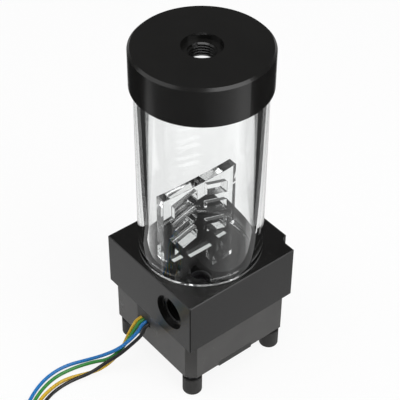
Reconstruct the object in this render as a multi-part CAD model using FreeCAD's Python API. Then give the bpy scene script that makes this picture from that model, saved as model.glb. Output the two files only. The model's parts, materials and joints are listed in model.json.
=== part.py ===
import FreeCAD, Part
import math
import os

# Coolant pump reservoir: a clear tube with a screw cap stands on a square machined pump top,
# and a small wet-rotor pump is bolted under it. Sizes are in millimetres. Z points up, the
# tube's axis is X = Y = 0, and the four rubber feet stand on Z = 0. The outlet port and the
# wires leave through the -Y side, and the inlet port goes in through the pad on the +Y side.

# Driving dimensions: rubber feet and the studs that clamp the pump to its top
foot_diameter = 9.7
foot_height = 10.1
foot_edge_radius = 0.6
stud_inset = 6.05
insert_diameter = 6.0
insert_lip = 0.5
insert_height = 3.7
insert_core = 3.3
stud_diameter = 4.0
stud_in_block = 10.0
nut_across_flats = 7.0
nut_height = 3.2
washer_diameter = 8.2
washer_thickness = 0.8

# Driving dimensions: pump body
body_width = 62.1
body_height = 21.6
body_corner_chamfer = 4.15
body_wall = 3.5
body_skirt_wall = 2.3
body_roof = 3.0
boss_diameter = 9.2
lid_thickness = 2.0
lug_width = 20.5
lug_centre_y = -2.75
lug_proud = 1.1
board_thickness = 1.6
board_above_lid = 1.0
board_post_diameter = 4.0
chip_side = 7.0
chip_height = 1.2
chip_x = -12.5
hall_sensor_width = 3.0
hall_sensor_depth = 4.0
hall_sensor_x = 12.5
switch_width = 5.0
switch_depth = 6.0
switch_height = 1.4
switch_spacing = 8.0
switch_y = 18.0
capacitor_diameter = 6.3
capacitor_height = 2.6
capacitor_y = -18.0

# Driving dimensions: separation can, stator and rotor
can_flange_inset = 4.05
can_flange_thickness = 1.2
can_inner_diameter = 25.6
can_wall = 0.8
can_depth = 15.4
can_boss_diameter = 6.0
can_boss_height = 1.5
stator_inset = 6.55
stator_ring_width = 3.0
stator_height = 10.5
stator_top_below_roof = 0.3
tooth_count = 6
tooth_width = 3.6
tooth_shoe_width = 9.0
tooth_shoe_depth = 1.4
coil_thickness = 1.5
ball_diameter = 4.8
ball_post_diameter = 2.8
ball_above_can_floor = 10.7
cup_diameter = 8.3
cup_wall_above_ball = 1.5
hub_diameter = 14.0
hub_above_can_floor = 1.9
magnet_diameter = 24.4
magnet_height = 12.4
magnet_below_disc = 1.8
impeller_diameter = 32.0
impeller_disc_thickness = 1.0
impeller_shroud_thickness = 0.9
impeller_eye_diameter = 10.0
impeller_eye_wall = 0.7
impeller_height = 5.4
impeller_above_can = 0.8
vane_count = 7
vane_thickness = 1.0
vane_inner_radius = 6.2
vane_sweep = 62.0
vane_lag_share = 0.36
vane_middle_share = 1.6

# Driving dimensions: pump top
block_width = 64.0
block_height = 29.7
block_edge_break = 0.4
pad_proud = 3.7
pad_half_width = 21.8
pad_fillet_radius = 3.5
reservoir_floor_below_top = 16.3
seat_depth = 5.4
volute_depth = 7.0
volute_start_radius = 17.8
volute_growth = 1.1
inlet_hole_diameter = 12.0
pocket_diameter = 27.0
pocket_depth = 4.0
pocket_centre_x = 4.7
pocket_centre_y = 10.6
port_centre_below_top = 14.3
outlet_port_x = 16.15
port_recess_diameter = 17.9
port_recess_depth = 2.0
outlet_thread_depth = 5.8
outlet_duct_diameter = 5.6
outlet_duct_rise = 8.0
outlet_duct_run = 15.5
outlet_duct_overlap = 1.0

# Driving dimensions: threaded ports, cut to the thread's root diameter
port_thread_diameter = 13.16

# Driving dimensions: tube, cap and seals
tube_outer_diameter = 60.0
tube_inner_diameter = 50.0
tube_exposed = 94.5
tube_thread_diameter = 58.0
tube_top_thread_length = 7.4
cap_diameter = 64.0
cap_height = 19.5
cap_chamfer = 1.15
cap_socket_depth = 7.9
cap_port_recess_diameter = 18.7
cap_port_recess_depth = 2.8
cap_port_thread_depth = 7.0
cap_hollow_diameter = 44.0
ring_section = 1.8
ring_mean_diameter = 55.0
pump_ring_inset = 2.6

# Driving dimensions: flow baffle
baffle_thickness = 5.0
baffle_width = 43.3
baffle_centre_x = -1.45
baffle_top_above_block = 40.4
baffle_shoulder_above_block = 3.0
baffle_leg_outer = 20.2
baffle_leg_inner = 6.75
baffle_notch_below_block = 2.9
baffle_window_inner = 10.9
baffle_window_outer = 16.3
baffle_window_top_below_block = 0.4
baffle_window_bottom_below_block = 13.1
slot_rows = 3
slot_pitch = 11.2
slot_width = 12.6
slot_height = 6.4
slot_slant = 4.2
slot_rib = 6.2
slot_first_above_block = 9.6

# Driving dimensions: wires, their guide, the put-away coil and the connector
wire_diameter = 1.8
wire_pitch = 1.9
wire_exit_height = 27.7
wire_straight_out = 2.25
first_wire_x = -7.8
guide_width = 9.9
guide_centre_x = -5.65
guide_depth = 6.2
guide_sill_chamfer = 1.2
coil_centre_x = 12.0
coil_centre_y = -103.0
coil_inner_turn_radius = 12.2
coil_turn_spacing = 1.9
coil_layer_height = 1.85
coil_first_layer = 1.5
coil_entry_angle = 216.0
coil_turns = 3.4
inner_column_extra_turns = 1
tie_width = 4.0
tie_thickness = 0.5
tie_head_length = 4.0
tie_head_height = 1.6
tie_head_margin = 0.5
tie_head_start = 1.5
plug_width = 10.6
plug_height = 6.0
plug_length = 14.0
plug_pin_pitch = 2.54
plug_back_y = -71.0
plug_edge_break = 0.4
plug_rib_width = 1.0
plug_rib_height = 1.0
plug_rib_start = 3.0
plug_socket_width = 1.2
plug_socket_depth = 6.0
tail_straight_share = 0.3

# Named clearances
fit_gap = 0.1
thread_gap = 0.05
moving_gap = 0.3
bearing_gap = 0.05
shoulder_gap = 0.2
seal_gap = 0.1

# Sizes that follow from the pump body's width
foot_spacing = body_width - 2 * stud_inset
can_flange_diameter = body_width - 2 * can_flange_inset
stator_diameter = body_width - 2 * stator_inset
pump_ring_mean_diameter = can_flange_diameter - 2 * pump_ring_inset

# Heights that follow from the stack of parts
nut_bottom = foot_height
washer_bottom = nut_bottom + nut_height
body_bottom = washer_bottom + washer_thickness
block_bottom = body_bottom + body_height
block_top = block_bottom + block_height
reservoir_floor = block_top - reservoir_floor_below_top
seat_floor = block_top - seat_depth
port_height = block_top - port_centre_below_top
volute_roof = block_bottom + volute_depth
cap_bottom = block_top + tube_exposed
cap_top = cap_bottom + cap_height
cap_socket_roof = cap_bottom + cap_socket_depth
tube_bottom = seat_floor + fit_gap
tube_top = cap_bottom - shoulder_gap + tube_top_thread_length
can_flange_bottom = block_bottom - can_flange_thickness
can_floor = block_bottom - can_depth + can_wall
board_bottom = body_bottom + lid_thickness + board_above_lid
board_top = board_bottom + board_thickness
lid_top = body_bottom + lid_thickness
roof_bottom = block_bottom - body_roof
stator_top = roof_bottom - stator_top_below_roof
ball_height = can_floor + ball_above_can_floor
disc_bottom = block_bottom + impeller_above_can
hub_bottom = can_floor + hub_above_can_floor
block_face_y = -block_width / 2
body_face_y = -body_width / 2
pad_face_y = block_width / 2 + pad_proud

# The four wires, with the turn of the coil that each takes, from the inner one outwards, and the
# points of its route between the guide's mouth and the coil, as X, Y, Z
wire_coil_column = {"black": 0, "yellow": 1, "green": 2, "blue": 3}
wire_routes = {
    "yellow": [
        (-9.7, -34.6, 22.8),
        (-10.1, -38.5, 16.1),
        (-9.9, -42.7, 8.8),
        (-11.0, -49.7, 3.4),
        (-12.8, -57.1, 1.0),
        (-18.4, -71.0, 1.0),
        (-17.2, -82.5, 1.0),
        (-12.7, -93.0, 1.0),
    ],
    "green": [
        (-7.1, -34.6, 23.6),
        (-8.0, -38.7, 17.1),
        (-8.9, -43.8, 10.8),
        (-11.7, -49.5, 5.7),
        (-17.6, -54.8, 2.6),
        (-21.8, -65.0, 1.0),
        (-22.4, -75.5, 1.0),
        (-19.0, -86.3, 1.0),
        (-12.2, -97.0, 1.0),
    ],
    "blue": [
        (-4.5, -34.8, 23.2),
        (-6.1, -40.0, 18.0),
        (-8.8, -44.8, 12.9),
        (-14.5, -50.5, 7.1),
        (-20.5, -55.7, 2.4),
        (-25.4, -66.0, 1.0),
        (-25.2, -77.0, 1.0),
        (-21.0, -88.0, 1.0),
        (-12.9, -99.2, 1.0),
    ],
    "black": [
        (-2.1, -34.4, 22.3),
        (-4.9, -40.0, 15.8),
        (-7.6, -45.7, 10.0),
        (-10.8, -52.0, 5.7),
        (-11.9, -59.7, 3.0),
        (-15.6, -70.0, 1.0),
        (-15.0, -81.0, 1.0),
        (-11.0, -90.6, 1.0),
    ],
}


def vector(x, y, z):
    return FreeCAD.Vector(x, y, z)


UP = vector(0, 0, 1)


def cylinder(diameter, bottom, top, x=0.0, y=0.0):
    return Part.makeCylinder(diameter / 2, top - bottom, vector(x, y, bottom))


def tube(outer, inner, bottom, top, x=0.0, y=0.0):
    return cylinder(outer, bottom, top, x, y).cut(cylinder(inner, bottom, top, x, y))


def box(x0, x1, y0, y1, z0, z1):
    return Part.makeBox(x1 - x0, y1 - y0, z1 - z0, vector(x0, y0, z0))


def plate(points, thickness_vector):
    """A flat plate: a closed outline of straight edges, pushed along a vector."""
    outline = Part.makePolygon(points + points[:1])
    return Part.Face(outline).extrude(thickness_vector)


def hole_along_y(diameter, x, z, y_from, y_to):
    start = min(y_from, y_to)
    return Part.makeCylinder(diameter / 2, abs(y_to - y_from), vector(x, start, z), vector(0, 1, 0))


def ring(mean_diameter, bottom, section=ring_section):
    return Part.makeTorus(mean_diameter / 2, section / 2, vector(0, 0, bottom + section / 2))


def ring_groove(mean_diameter, bottom, depth, section=ring_section):
    half = section / 2 + seal_gap
    return tube(mean_diameter + 2 * half, mean_diameter - 2 * half, bottom, bottom + depth)


def corners(spacing=foot_spacing):
    half = spacing / 2
    return [(half, half), (-half, half), (-half, -half), (half, -half)]


def at_corners(make):
    return Part.makeCompound([make(x, y) for x, y in corners()])


def vertical_edges(shape, wanted):
    """The upright edges of a solid whose middle point passes a test."""
    chosen = []
    for edge in shape.Edges:
        first, last = edge.Vertexes[0].Point, edge.Vertexes[-1].Point
        upright = abs(first.x - last.x) + abs(first.y - last.y) < 1e-6
        if upright and abs(first.z - last.z) > 1 and wanted(first.x, first.y):
            chosen.append(edge)
    return chosen


def rim_edges(shape, height, radius):
    """The circles of a solid that lie at one height and have one radius."""
    found = []
    for edge in shape.Edges:
        round_edge = hasattr(edge.Curve, "Radius") and abs(edge.Curve.Radius - radius) < 1e-4
        if round_edge and abs(edge.Curve.Center.z - height) < 1e-4:
            found.append(edge)
    return found


# Feet, studs, nuts and washers


def rubber_feet():
    def foot(x, y):
        body = cylinder(foot_diameter, 0, foot_height, x, y)
        ends = rim_edges(body, 0, foot_diameter / 2) + rim_edges(body, foot_height, foot_diameter / 2)
        body = body.makeFillet(foot_edge_radius, ends)
        body = body.cut(cylinder(insert_core, 0, insert_lip, x, y))
        for low, bore in insert_bores():
            body = body.cut(cylinder(insert_diameter, low, low + insert_height, x, y))
        return body

    return at_corners(foot)


def insert_bores():
    """A foot has a threaded insert at each end, with solid rubber between the two.

    The lower insert is open at its thread's core, and the upper one fits round the clamp stud."""
    thread = stud_diameter + 2 * thread_gap
    return (insert_lip, insert_core), (foot_height - insert_height, thread)


def foot_inserts():
    inserts = []
    for low, bore in insert_bores():
        high = low + insert_height
        inserts.append(at_corners(lambda x, y: tube(insert_diameter, bore, low, high, x, y)))
    return Part.makeCompound(inserts)


def clamp_studs():
    bottom = foot_height - insert_height + fit_gap
    top = block_bottom + stud_in_block
    return at_corners(lambda x, y: cylinder(stud_diameter, bottom, top, x, y))


def clamp_nuts():
    across_corners = nut_across_flats / math.cos(math.pi / 6)

    def nut(x, y):
        turns = [math.radians(60 * i) for i in range(6)]
        radius = across_corners / 2
        outline = [vector(x + radius * math.cos(a), y + radius * math.sin(a), nut_bottom) for a in turns]
        body = plate(outline, vector(0, 0, nut_height))
        return body.cut(cylinder(stud_diameter + 2 * thread_gap, nut_bottom, washer_bottom, x, y))

    return at_corners(nut)


def clamp_washers():
    inner = stud_diameter + 2 * moving_gap
    return at_corners(lambda x, y: tube(washer_diameter, inner, washer_bottom, body_bottom, x, y))


# Pump body, its lid and the circuit board


def square_prism(half, chamfer, bottom, top):
    body = box(-half, half, -half, half, bottom, top)
    return body.makeChamfer(chamfer, vertical_edges(body, lambda x, y: True))


def guide_sides(gap=0.0):
    half = guide_width / 2 + gap
    return guide_centre_x - half, guide_centre_x + half


def guide_sill():
    return wire_exit_height - wire_diameter / 2 - fit_gap


def pump_body():
    half = body_width / 2
    body = square_prism(half, body_corner_chamfer, body_bottom, block_bottom)
    inner_chamfer = body_corner_chamfer
    cavity = square_prism(half - body_wall, inner_chamfer, board_top, roof_bottom)
    skirt = square_prism(half - body_skirt_wall, inner_chamfer, body_bottom, board_top)
    boss_bottom = lid_top
    bosses = at_corners(lambda x, y: cylinder(boss_diameter, boss_bottom, roof_bottom, x, y))
    body = body.cut(cavity.fuse(skirt).cut(bosses))
    body = body.cut(cylinder(can_flange_diameter + 2 * fit_gap, can_flange_bottom, block_bottom))
    can_hole = can_inner_diameter + 2 * can_wall + 2 * fit_gap
    body = body.cut(cylinder(can_hole, roof_bottom, block_bottom))
    stud_hole = stud_diameter + 2 * moving_gap
    body = body.cut(at_corners(lambda x, y: cylinder(stud_hole, body_bottom, block_bottom, x, y)))
    left, right = guide_sides(fit_gap)
    sill = guide_sill()
    body = body.cut(box(left, right, body_face_y, body_face_y + body_wall, sill, block_bottom))
    lip = plate(
        [
            vector(left, body_face_y, sill - guide_sill_chamfer),
            vector(left, body_face_y + guide_sill_chamfer, sill),
            vector(left, body_face_y, sill),
        ],
        vector(right - left, 0, 0),
    )
    body = body.cut(lip)
    lug_low = lug_centre_y - lug_width / 2 - fit_gap
    lug_high = lug_centre_y + lug_width / 2 + fit_gap
    return body.cut(box(half - body_skirt_wall, half, lug_low, lug_high, body_bottom, lid_top + fit_gap))


def bottom_lid():
    half = body_width / 2 - body_skirt_wall - fit_gap
    lid = square_prism(half, body_corner_chamfer, body_bottom, lid_top)
    lug_low = lug_centre_y - lug_width / 2
    lug_high = lug_centre_y + lug_width / 2
    lug_inner = half - 2 * body_skirt_wall
    lid = lid.fuse(box(lug_inner, body_width / 2, lug_low, lug_high, body_bottom - lug_proud, lid_top))
    support = foot_spacing / 2 - boss_diameter
    places = corners(2 * support)
    posts = [cylinder(board_post_diameter, lid_top, board_bottom, x, y) for x, y in places]
    lid = lid.fuse(Part.makeCompound(posts)).removeSplitter()
    stud_hole = stud_diameter + 2 * moving_gap
    return lid.cut(at_corners(lambda x, y: cylinder(stud_hole, body_bottom, lid_top, x, y)))


def circuit_board():
    half = body_width / 2 - body_skirt_wall - fit_gap
    board = square_prism(half, body_corner_chamfer, board_bottom, board_top)
    notch = boss_diameter + 2 * moving_gap
    board = board.cut(at_corners(lambda x, y: cylinder(notch, board_bottom, board_top, x, y)))
    for x, y in corners(half * 2):
        inner_x = math.copysign(foot_spacing / 2, x)
        inner_y = math.copysign(foot_spacing / 2, y)
        x0, x1 = sorted((inner_x, x))
        y0, y1 = sorted((inner_y, y))
        board = board.cut(box(x0, x1, y0, y1, board_bottom, board_top))
    return board


def board_parts():
    """Driver chip, Hall sensor, three switching transistors and a filter capacitor."""

    def block(x, y, width, depth, height):
        return box(
            x - width / 2, x + width / 2, y - depth / 2, y + depth / 2, board_top, board_top + height
        )

    chip = block(chip_x, 0, chip_side, chip_side, chip_height)
    sensor = block(hall_sensor_x, 0, hall_sensor_width, hall_sensor_depth, chip_height)
    capacitor = cylinder(capacitor_diameter, board_top, board_top + capacitor_height, 0, capacitor_y)
    switches = []
    for place in (-1, 0, 1):
        x = place * switch_spacing
        switches.append(block(x, switch_y, switch_width, switch_depth, switch_height))
    return Part.makeCompound([chip, sensor, capacitor] + switches)


def wire_guide():
    left, right = guide_sides()
    inner = body_face_y + guide_depth
    head_inner = body_face_y + body_wall - fit_gap
    guide = box(left, right, body_face_y, head_inner, guide_sill() + fit_gap, block_bottom - fit_gap)
    foot_top = roof_bottom - fit_gap
    guide = guide.fuse(box(left, right, body_face_y, inner, guide_sill() + fit_gap, foot_top))
    guide = guide.removeSplitter()
    channel = wire_diameter + 2 * fit_gap
    for i in range(len(wire_routes)):
        x = first_wire_x + i * wire_pitch
        guide = guide.cut(hole_along_y(channel, x, wire_exit_height, body_face_y, inner))
        low = guide_sill()
        half = channel / 2
        guide = guide.cut(box(x - half, x + half, body_face_y, inner, low, wire_exit_height))
    return guide


# Separation can, stator and rotor


def separation_can():
    outer = can_inner_diameter + 2 * can_wall
    can = cylinder(can_flange_diameter, can_flange_bottom, block_bottom)
    can = can.fuse(cylinder(outer, can_floor - can_wall, block_bottom))
    can = can.cut(cylinder(can_inner_diameter, can_floor, block_bottom))
    boss = cylinder(can_boss_diameter, can_floor, can_floor + can_boss_height)
    can = can.fuse(boss).removeSplitter()
    post_hole = ball_post_diameter + 2 * fit_gap
    return can.cut(cylinder(post_hole, can_floor, can_floor + can_boss_height))


def bearing_ball():
    centre = vector(0, 0, ball_height)
    ball = Part.makeSphere(ball_diameter / 2, centre)
    return ball.fuse(cylinder(ball_post_diameter, can_floor, ball_height))


def bearing_cup():
    socket = ball_diameter + 2 * bearing_gap
    bottom = ball_height - ball_diameter / 2
    top = ball_height + socket / 2 + cup_wall_above_ball
    cup = cylinder(cup_diameter, bottom, top)
    cup = cup.cut(Part.makeSphere(socket / 2, vector(0, 0, ball_height)))
    return cup.cut(cylinder(socket, bottom, ball_height))


def stator_core():
    bottom = stator_top - stator_height
    core = tube(stator_diameter, stator_diameter - 2 * stator_ring_width, bottom, stator_top)
    bore = can_inner_diameter + 2 * can_wall + 2 * fit_gap
    for i in range(tooth_count):
        reach = (stator_diameter - stator_ring_width) / 2
        tooth = box(bore / 2, reach, -tooth_width / 2, tooth_width / 2, bottom, stator_top)
        shoe_half = tooth_shoe_width / 2
        shoe = box(0, bore / 2 + tooth_shoe_depth, -shoe_half, shoe_half, bottom, stator_top)
        tooth = tooth.fuse(shoe)
        tooth.rotate(vector(0, 0, 0), UP, 360.0 / tooth_count * i)
        core = core.fuse(tooth)
    return core.cut(cylinder(bore, bottom, stator_top)).removeSplitter()


def stator_coils():
    bottom = stator_top - stator_height
    bore = can_inner_diameter + 2 * can_wall + 2 * fit_gap
    inner = bore / 2 + tooth_shoe_depth + fit_gap
    outer = stator_diameter / 2 - stator_ring_width - moving_gap
    coils = []
    for i in range(tooth_count):
        slot = tooth_width / 2 + fit_gap
        half = slot + coil_thickness
        low = bottom - coil_thickness
        high = stator_top
        coil = box(inner, outer, -half, half, low, high)
        coil = coil.cut(box(inner, outer, -slot, slot, bottom - fit_gap, high))
        coil.rotate(vector(0, 0, 0), UP, 360.0 / tooth_count * i)
        coils.append(coil)
    return Part.makeCompound(coils)


def vane(start_angle, bottom, top):
    """One swept-back vane: its middle line is an arc from the eye to the rim."""
    outer_radius = impeller_diameter / 2
    middle_radius = (vane_inner_radius + outer_radius) / 2

    def point(radius, angle, offset):
        turn = math.radians(angle)
        return vector((radius + offset) * math.cos(turn), (radius + offset) * math.sin(turn), bottom)

    lag = vane_lag_share * vane_sweep
    half = vane_thickness / 2
    arcs = []
    for offset in (-half, half):
        inner = point(vane_inner_radius, start_angle, offset)
        middle = point(middle_radius, start_angle + vane_sweep - lag, vane_middle_share * offset)
        outer = point(outer_radius - half, start_angle + vane_sweep, offset)
        arcs.append(Part.Arc(inner, middle, outer).toShape())
    first, second = arcs
    ends = [
        Part.makeLine(first.Vertexes[-1].Point, second.Vertexes[-1].Point),
        Part.makeLine(second.Vertexes[0].Point, first.Vertexes[0].Point),
    ]
    outline = Part.Wire(Part.__sortEdges__([first, second] + ends))
    return Part.Face(outline).extrude(vector(0, 0, top - bottom))


def impeller():
    disc_top = disc_bottom + impeller_disc_thickness
    shroud_top = disc_bottom + impeller_height
    shroud_bottom = shroud_top - impeller_shroud_thickness
    wheel = cylinder(impeller_diameter, disc_bottom, disc_top)
    for i in range(vane_count):
        wheel = wheel.fuse(vane(360.0 / vane_count * i, disc_top, shroud_bottom))
    shroud = tube(impeller_diameter, impeller_eye_diameter, shroud_bottom, shroud_top)
    eye_outer = impeller_eye_diameter + 2 * impeller_eye_wall
    eye_top = volute_roof + impeller_eye_wall
    shroud = shroud.fuse(tube(eye_outer, impeller_eye_diameter, shroud_bottom, eye_top))
    wheel = wheel.fuse(shroud)
    shoulder_bottom = disc_bottom - magnet_below_disc
    wheel = wheel.fuse(cylinder(magnet_diameter, shoulder_bottom, disc_bottom))
    wheel = wheel.fuse(cylinder(hub_diameter, hub_bottom, disc_bottom))
    socket = ball_diameter + 2 * bearing_gap
    cup_top = ball_height + socket / 2 + cup_wall_above_ball
    wheel = wheel.cut(cylinder(cup_diameter + 2 * fit_gap, hub_bottom, cup_top + fit_gap))
    return wheel.removeSplitter()


def rotor_magnet():
    top = disc_bottom - magnet_below_disc - fit_gap
    return tube(magnet_diameter, hub_diameter + 2 * fit_gap, top - magnet_height, top)


# Pump top


def volute_chamber():
    """A four-centre spiral that opens clockwise, seen from above, towards the outlet."""
    g = volute_growth
    x, y = -g / 2, g / 2
    radius = volute_start_radius
    centres = [(x, y), (x + g, y), (x + g, y - g), (x, y - g)]
    edges = []
    for quarter, (cx, cy) in enumerate(centres):
        r = radius + quarter * g
        angles = [math.radians(-90 - 90 * quarter - 45 * k) for k in range(3)]
        ends = [vector(cx + r * math.cos(a), cy + r * math.sin(a), block_bottom) for a in angles]
        edges.append(Part.Arc(*ends).toShape())
    first = edges[0].Vertexes[0].Point
    last = edges[-1].Vertexes[-1].Point
    edges.append(Part.makeLine(last, first))
    outline = Part.Wire(Part.__sortEdges__(edges))
    return Part.Face(outline).extrude(vector(0, 0, volute_depth))


def side_pad():
    """The raised pad on the +Y side, with the concave step that the cutter left beside it."""
    back = block_width / 2
    radius = pad_fillet_radius
    half = pad_half_width + radius
    pad = box(-half, half, back - block_edge_break, pad_face_y, block_bottom, block_top)
    for side in (-1, 1):
        x = side * half
        step = cylinder(2 * radius, block_bottom, block_top, x, back + radius)
        pad = pad.cut(step)
        x0, x1 = sorted((x, x - side * radius))
        pad = pad.cut(box(x0, x1, back + radius, pad_face_y, block_bottom, block_top))
    return pad


def pump_top():
    half = block_width / 2
    block = box(-half, half, -half, half, block_bottom, block_top)
    rims = [e for e in block.Edges if abs(e.BoundBox.ZLength) < 1e-6]
    sides = vertical_edges(block, lambda x, y: True)
    block = block.makeChamfer(block_edge_break, rims + sides)
    block = block.fuse(side_pad()).removeSplitter()
    seat_bore = tube_thread_diameter + 2 * moving_gap
    block = block.cut(cylinder(seat_bore, seat_floor, block_top))
    block = block.cut(cylinder(tube_inner_diameter, reservoir_floor, block_top))
    block = block.cut(ring_groove(ring_mean_diameter, seat_floor - ring_section, ring_section))
    pocket_bottom = reservoir_floor - pocket_depth
    pocket = cylinder(pocket_diameter, pocket_bottom, reservoir_floor, pocket_centre_x, pocket_centre_y)
    block = block.cut(pocket)
    block = block.cut(cylinder(inlet_hole_diameter, block_bottom, reservoir_floor))
    block = block.cut(volute_chamber())
    block = block.cut(ring_groove(pump_ring_mean_diameter, block_bottom, ring_section))
    thread = stud_diameter + 2 * thread_gap
    stud_top = block_bottom + stud_in_block + fit_gap
    block = block.cut(at_corners(lambda x, y: cylinder(thread, block_bottom, stud_top, x, y)))
    return block.cut(outlet_passage()).cut(inlet_passage())


def outlet_passage():
    """The -Y port and the sloping duct that was drilled through it down to the volute."""
    recess_end = block_face_y + port_recess_depth
    thread_end = recess_end + outlet_thread_depth
    passage = hole_along_y(port_recess_diameter, outlet_port_x, port_height, block_face_y, recess_end)
    passage = passage.fuse(
        hole_along_y(port_thread_diameter, outlet_port_x, port_height, recess_end, thread_end)
    )
    start_y = thread_end - outlet_duct_overlap
    start_z = port_height - outlet_duct_diameter / 2 - outlet_duct_overlap
    start = vector(outlet_port_x, start_y, start_z)
    along = vector(0, outlet_duct_run, -outlet_duct_rise)
    duct = Part.makeCylinder(outlet_duct_diameter / 2, along.Length, start, along)
    return passage.fuse(duct)


def inlet_passage():
    """The +Y port, which opens into the floor pocket and so to the impeller's eye."""
    recess_end = pad_face_y - port_recess_depth
    passage = hole_along_y(port_recess_diameter, pocket_centre_x, port_height, pad_face_y, recess_end)
    far_side = pocket_centre_x + port_thread_diameter / 2
    inner = math.sqrt(tube_inner_diameter**2 / 4 - far_side**2) - fit_gap
    return passage.fuse(
        hole_along_y(port_thread_diameter, pocket_centre_x, port_height, recess_end, inner)
    )


# Tube, baffle and cap


def reservoir_tube():
    """A thick clear tube, turned down at both ends for its threads."""
    shoulder = cap_bottom - shoulder_gap
    body = cylinder(tube_outer_diameter, block_top, shoulder)
    body = body.fuse(cylinder(tube_thread_diameter, tube_bottom, tube_top))
    return body.cut(cylinder(tube_inner_diameter, tube_bottom, tube_top)).removeSplitter()


def slanted_slot(side, row):
    """A slanted slot through the baffle; the left and right slots mirror each other."""
    middle = block_top + slot_first_above_block + row * slot_pitch
    near = side * slot_rib / 2
    far = side * (slot_rib / 2 + slot_width)
    rise = slot_slant / 2
    half = slot_height / 2
    x = baffle_centre_x - baffle_thickness / 2
    outline = [
        vector(x, near, middle + rise - half),
        vector(x, far, middle - rise - half),
        vector(x, far, middle - rise + half),
        vector(x, near, middle + rise + half),
    ]
    return plate(outline, vector(baffle_thickness, 0, 0))


def flow_baffle():
    x = baffle_centre_x - baffle_thickness / 2
    edge = baffle_width / 2
    shoulder = block_top + baffle_shoulder_above_block
    notch = block_top - baffle_notch_below_block
    top = block_top + baffle_top_above_block
    right_half = [
        (baffle_leg_inner, notch),
        (baffle_leg_inner, reservoir_floor),
        (baffle_leg_outer, reservoir_floor),
        (baffle_leg_outer, shoulder),
        (edge, shoulder),
        (edge, top),
    ]
    left_half = [(-y, z) for y, z in reversed(right_half)]
    outline = [vector(x, y, z) for y, z in right_half + left_half]
    baffle = plate(outline, vector(baffle_thickness, 0, 0))
    for side in (-1, 1):
        y0, y1 = sorted((side * baffle_window_inner, side * baffle_window_outer))
        low = block_top - baffle_window_bottom_below_block
        high = block_top - baffle_window_top_below_block
        baffle = baffle.cut(box(x, x + baffle_thickness, y0, y1, low, high))
        for row in range(slot_rows):
            baffle = baffle.cut(slanted_slot(side, row))
    return baffle


def top_cap():
    radius = cap_diameter / 2
    cap = cylinder(cap_diameter, cap_bottom, cap_top)
    cap = cap.makeChamfer(cap_chamfer, rim_edges(cap, cap_top, radius))
    cap = cap.makeChamfer(block_edge_break, rim_edges(cap, cap_bottom, radius))
    socket = tube_thread_diameter + 2 * moving_gap
    cap = cap.cut(cylinder(socket, cap_bottom, cap_socket_roof))
    groove_roof = tube_top + seal_gap + ring_section + seal_gap
    cap = cap.cut(ring_groove(ring_mean_diameter, cap_socket_roof, groove_roof - cap_socket_roof))
    recess_floor = cap_top - cap_port_recess_depth
    cap = cap.cut(cylinder(cap_port_recess_diameter, recess_floor, cap_top))
    hollow_roof = recess_floor - cap_port_thread_depth
    cap = cap.cut(cylinder(cap_hollow_diameter, cap_socket_roof, hollow_roof))
    return cap.cut(cylinder(port_thread_diameter, hollow_roof, recess_floor))


# Wires, coil, tie and connector


def coil_point(column, angle, height):
    radius = coil_inner_turn_radius + coil_turn_spacing * column
    turn = math.radians(angle)
    return (
        coil_centre_x + radius * math.cos(turn),
        coil_centre_y + radius * math.sin(turn),
        height,
    )


def turns_of(column):
    """The inner column takes one more turn, so that the four wires come out about equally long."""
    return coil_turns + (inner_column_extra_turns if column == 0 else 0)


def coil_chord(column):
    """How far a straight wire runs inside the coil before it meets the turn that it joins."""
    outer = coil_section(0.0)[1] - fit_gap
    radius = coil_inner_turn_radius + coil_turn_spacing * column
    return math.sqrt(outer * outer - radius * radius)


def coil_touch(column, angle, height, way):
    """Where the straight line that joins a turn at an angle goes through the coil's outside."""
    x, y, z = coil_point(column, angle, height)
    turn = math.radians(angle)
    reach = way * coil_chord(column)
    return x - reach * math.sin(turn), y + reach * math.cos(turn), z


def path_of(points):
    """Straight runs joined by arcs as large as the runs allow; returns the wire and its radii."""
    spots = [vector(*p) for p in points]
    edges = []
    radii = []
    start = spots[0]
    for before, here, after in zip(spots, spots[1:], spots[2:]):
        back = before - here
        ahead = after - here
        trim = 0.45 * min(back.Length, ahead.Length)
        turn = math.pi - back.getAngle(ahead)
        radius = trim / math.tan(turn / 2)
        radii.append(radius)
        back.normalize()
        ahead.normalize()
        first = here + back * trim
        last = here + ahead * trim
        inward = back + ahead
        inward.normalize()
        middle = here + inward * (math.hypot(radius, trim) - radius)
        edges.append(Part.LineSegment(start, first).toShape())
        edges.append(Part.Arc(first, middle, last).toShape())
        start = last
    edges.append(Part.LineSegment(start, spots[-1]).toShape())
    return Part.Wire(edges), radii


def cord(name, points):
    path, radii = path_of(points)
    along = vector(*points[1]) - vector(*points[0])
    circle = Part.makeCircle(wire_diameter / 2, vector(*points[0]), along)
    solid = path.makePipeShell([Part.Wire(circle)], True, False)
    expected = math.pi * (wire_diameter / 2) ** 2 * path.Length
    listed = ", ".join(f"{r:.1f}" for r in radii)
    print(f"{name}: {path.Length:.1f} long, volume {solid.Volume / expected:.4f}, radii {listed}")
    return solid


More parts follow.
